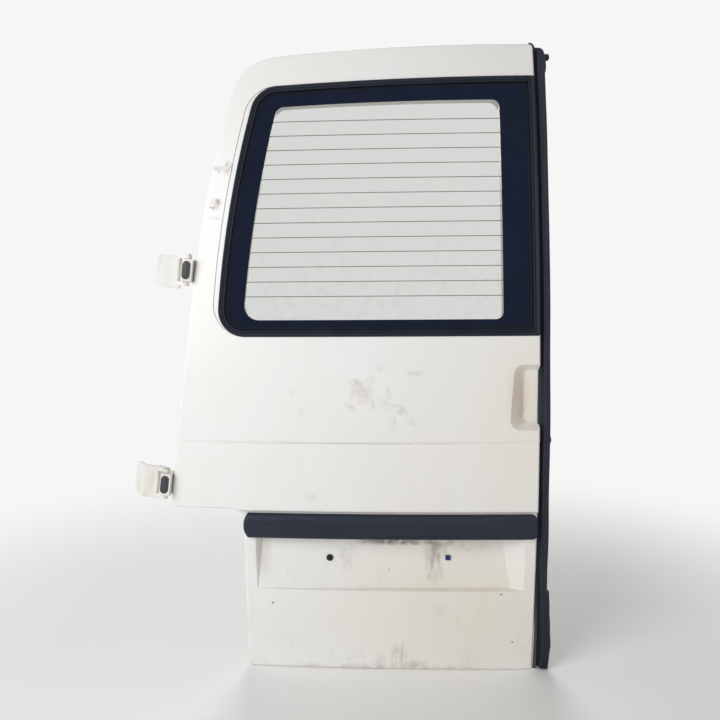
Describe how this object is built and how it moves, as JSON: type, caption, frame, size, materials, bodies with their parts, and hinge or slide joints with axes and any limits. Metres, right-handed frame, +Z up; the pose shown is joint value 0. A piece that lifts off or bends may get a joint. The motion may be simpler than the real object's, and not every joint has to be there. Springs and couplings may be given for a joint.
{
  "type": "van rear barn door",
  "caption": "Left rear barn door of a camper van with heated window, rub strip, plate recess and two hinges.",
  "frame": {"origin": "middle of the lower hinge body leaf's mounting face, between its two tapped holes", "axes": "+Z up, +Y towards the inside of the van, +X from the hinges towards the free edge"},
  "size_m": [0.9471, 0.2066, 1.4109],
  "materials": {
    "paint": "gloss",
    "inner_paint": "satin",
    "hinge_paint": "satin",
    "glass": "gloss",
    "print": "gloss",
    "heater": "satin",
    "gasket_rubber": "satin",
    "strip_plastic": "matte",
    "seal_rubber": "matte",
    "black_rubber": "matte",
    "black_plastic": "satin",
    "blue_plastic": "satin",
    "lamp_plastic": "gloss",
    "trim_plastic": "matte",
    "zinc_steel": "satin"
  },
  "bodies": {
    "hinge_mounts": {"lower_hinge_body_leaf": "hinge_paint", "upper_hinge_body_leaf": "hinge_paint", "lower_hinge_pin": "zinc_steel", "upper_hinge_pin": "zinc_steel"},
    "door": {"outer_skin": "paint", "inner_panel": "inner_paint", "window_frame": "inner_paint", "window_glass": "glass", "glass_border": "print", "heater_lines": "heater", "window_gasket": "gasket_rubber", "rub_strip": "strip_plastic", "edge_seal": "seal_rubber", "seal_foot": "seal_rubber", "seal_top_block": "seal_rubber", "seal_buffer": "seal_rubber", "plate_grommet": "black_plastic", "screw_insert": "blue_plastic", "plate_lamp_left": "lamp_plastic", "plate_lamp_right": "lamp_plastic", "trim_panel": "trim_plastic", "trim_clips": "black_plastic", "upper_latch": "zinc_steel", "lower_latch": "zinc_steel", "release_lever": "black_plastic", "lock_striker": "zinc_steel", "panel_bungs": "black_rubber", "rubber_buffers": "black_rubber", "upper_hinge_door_leaf": "hinge_paint", "upper_hinge_cover": "black_plastic", "upper_hinge_bolts": "zinc_steel", "lower_hinge_door_leaf": "hinge_paint", "lower_hinge_cover": "black_plastic", "lower_hinge_bolts": "zinc_steel"}
  },
  "joints": [
    {"name": "door_swing", "type": "hinge", "parent": "hinge_mounts", "child": "door", "pos_m": [0.03891, -0.03396, -0.00313], "axis": [-0.1215, -0.0478, -0.9914], "range_deg": [0, 180]}
  ]
}
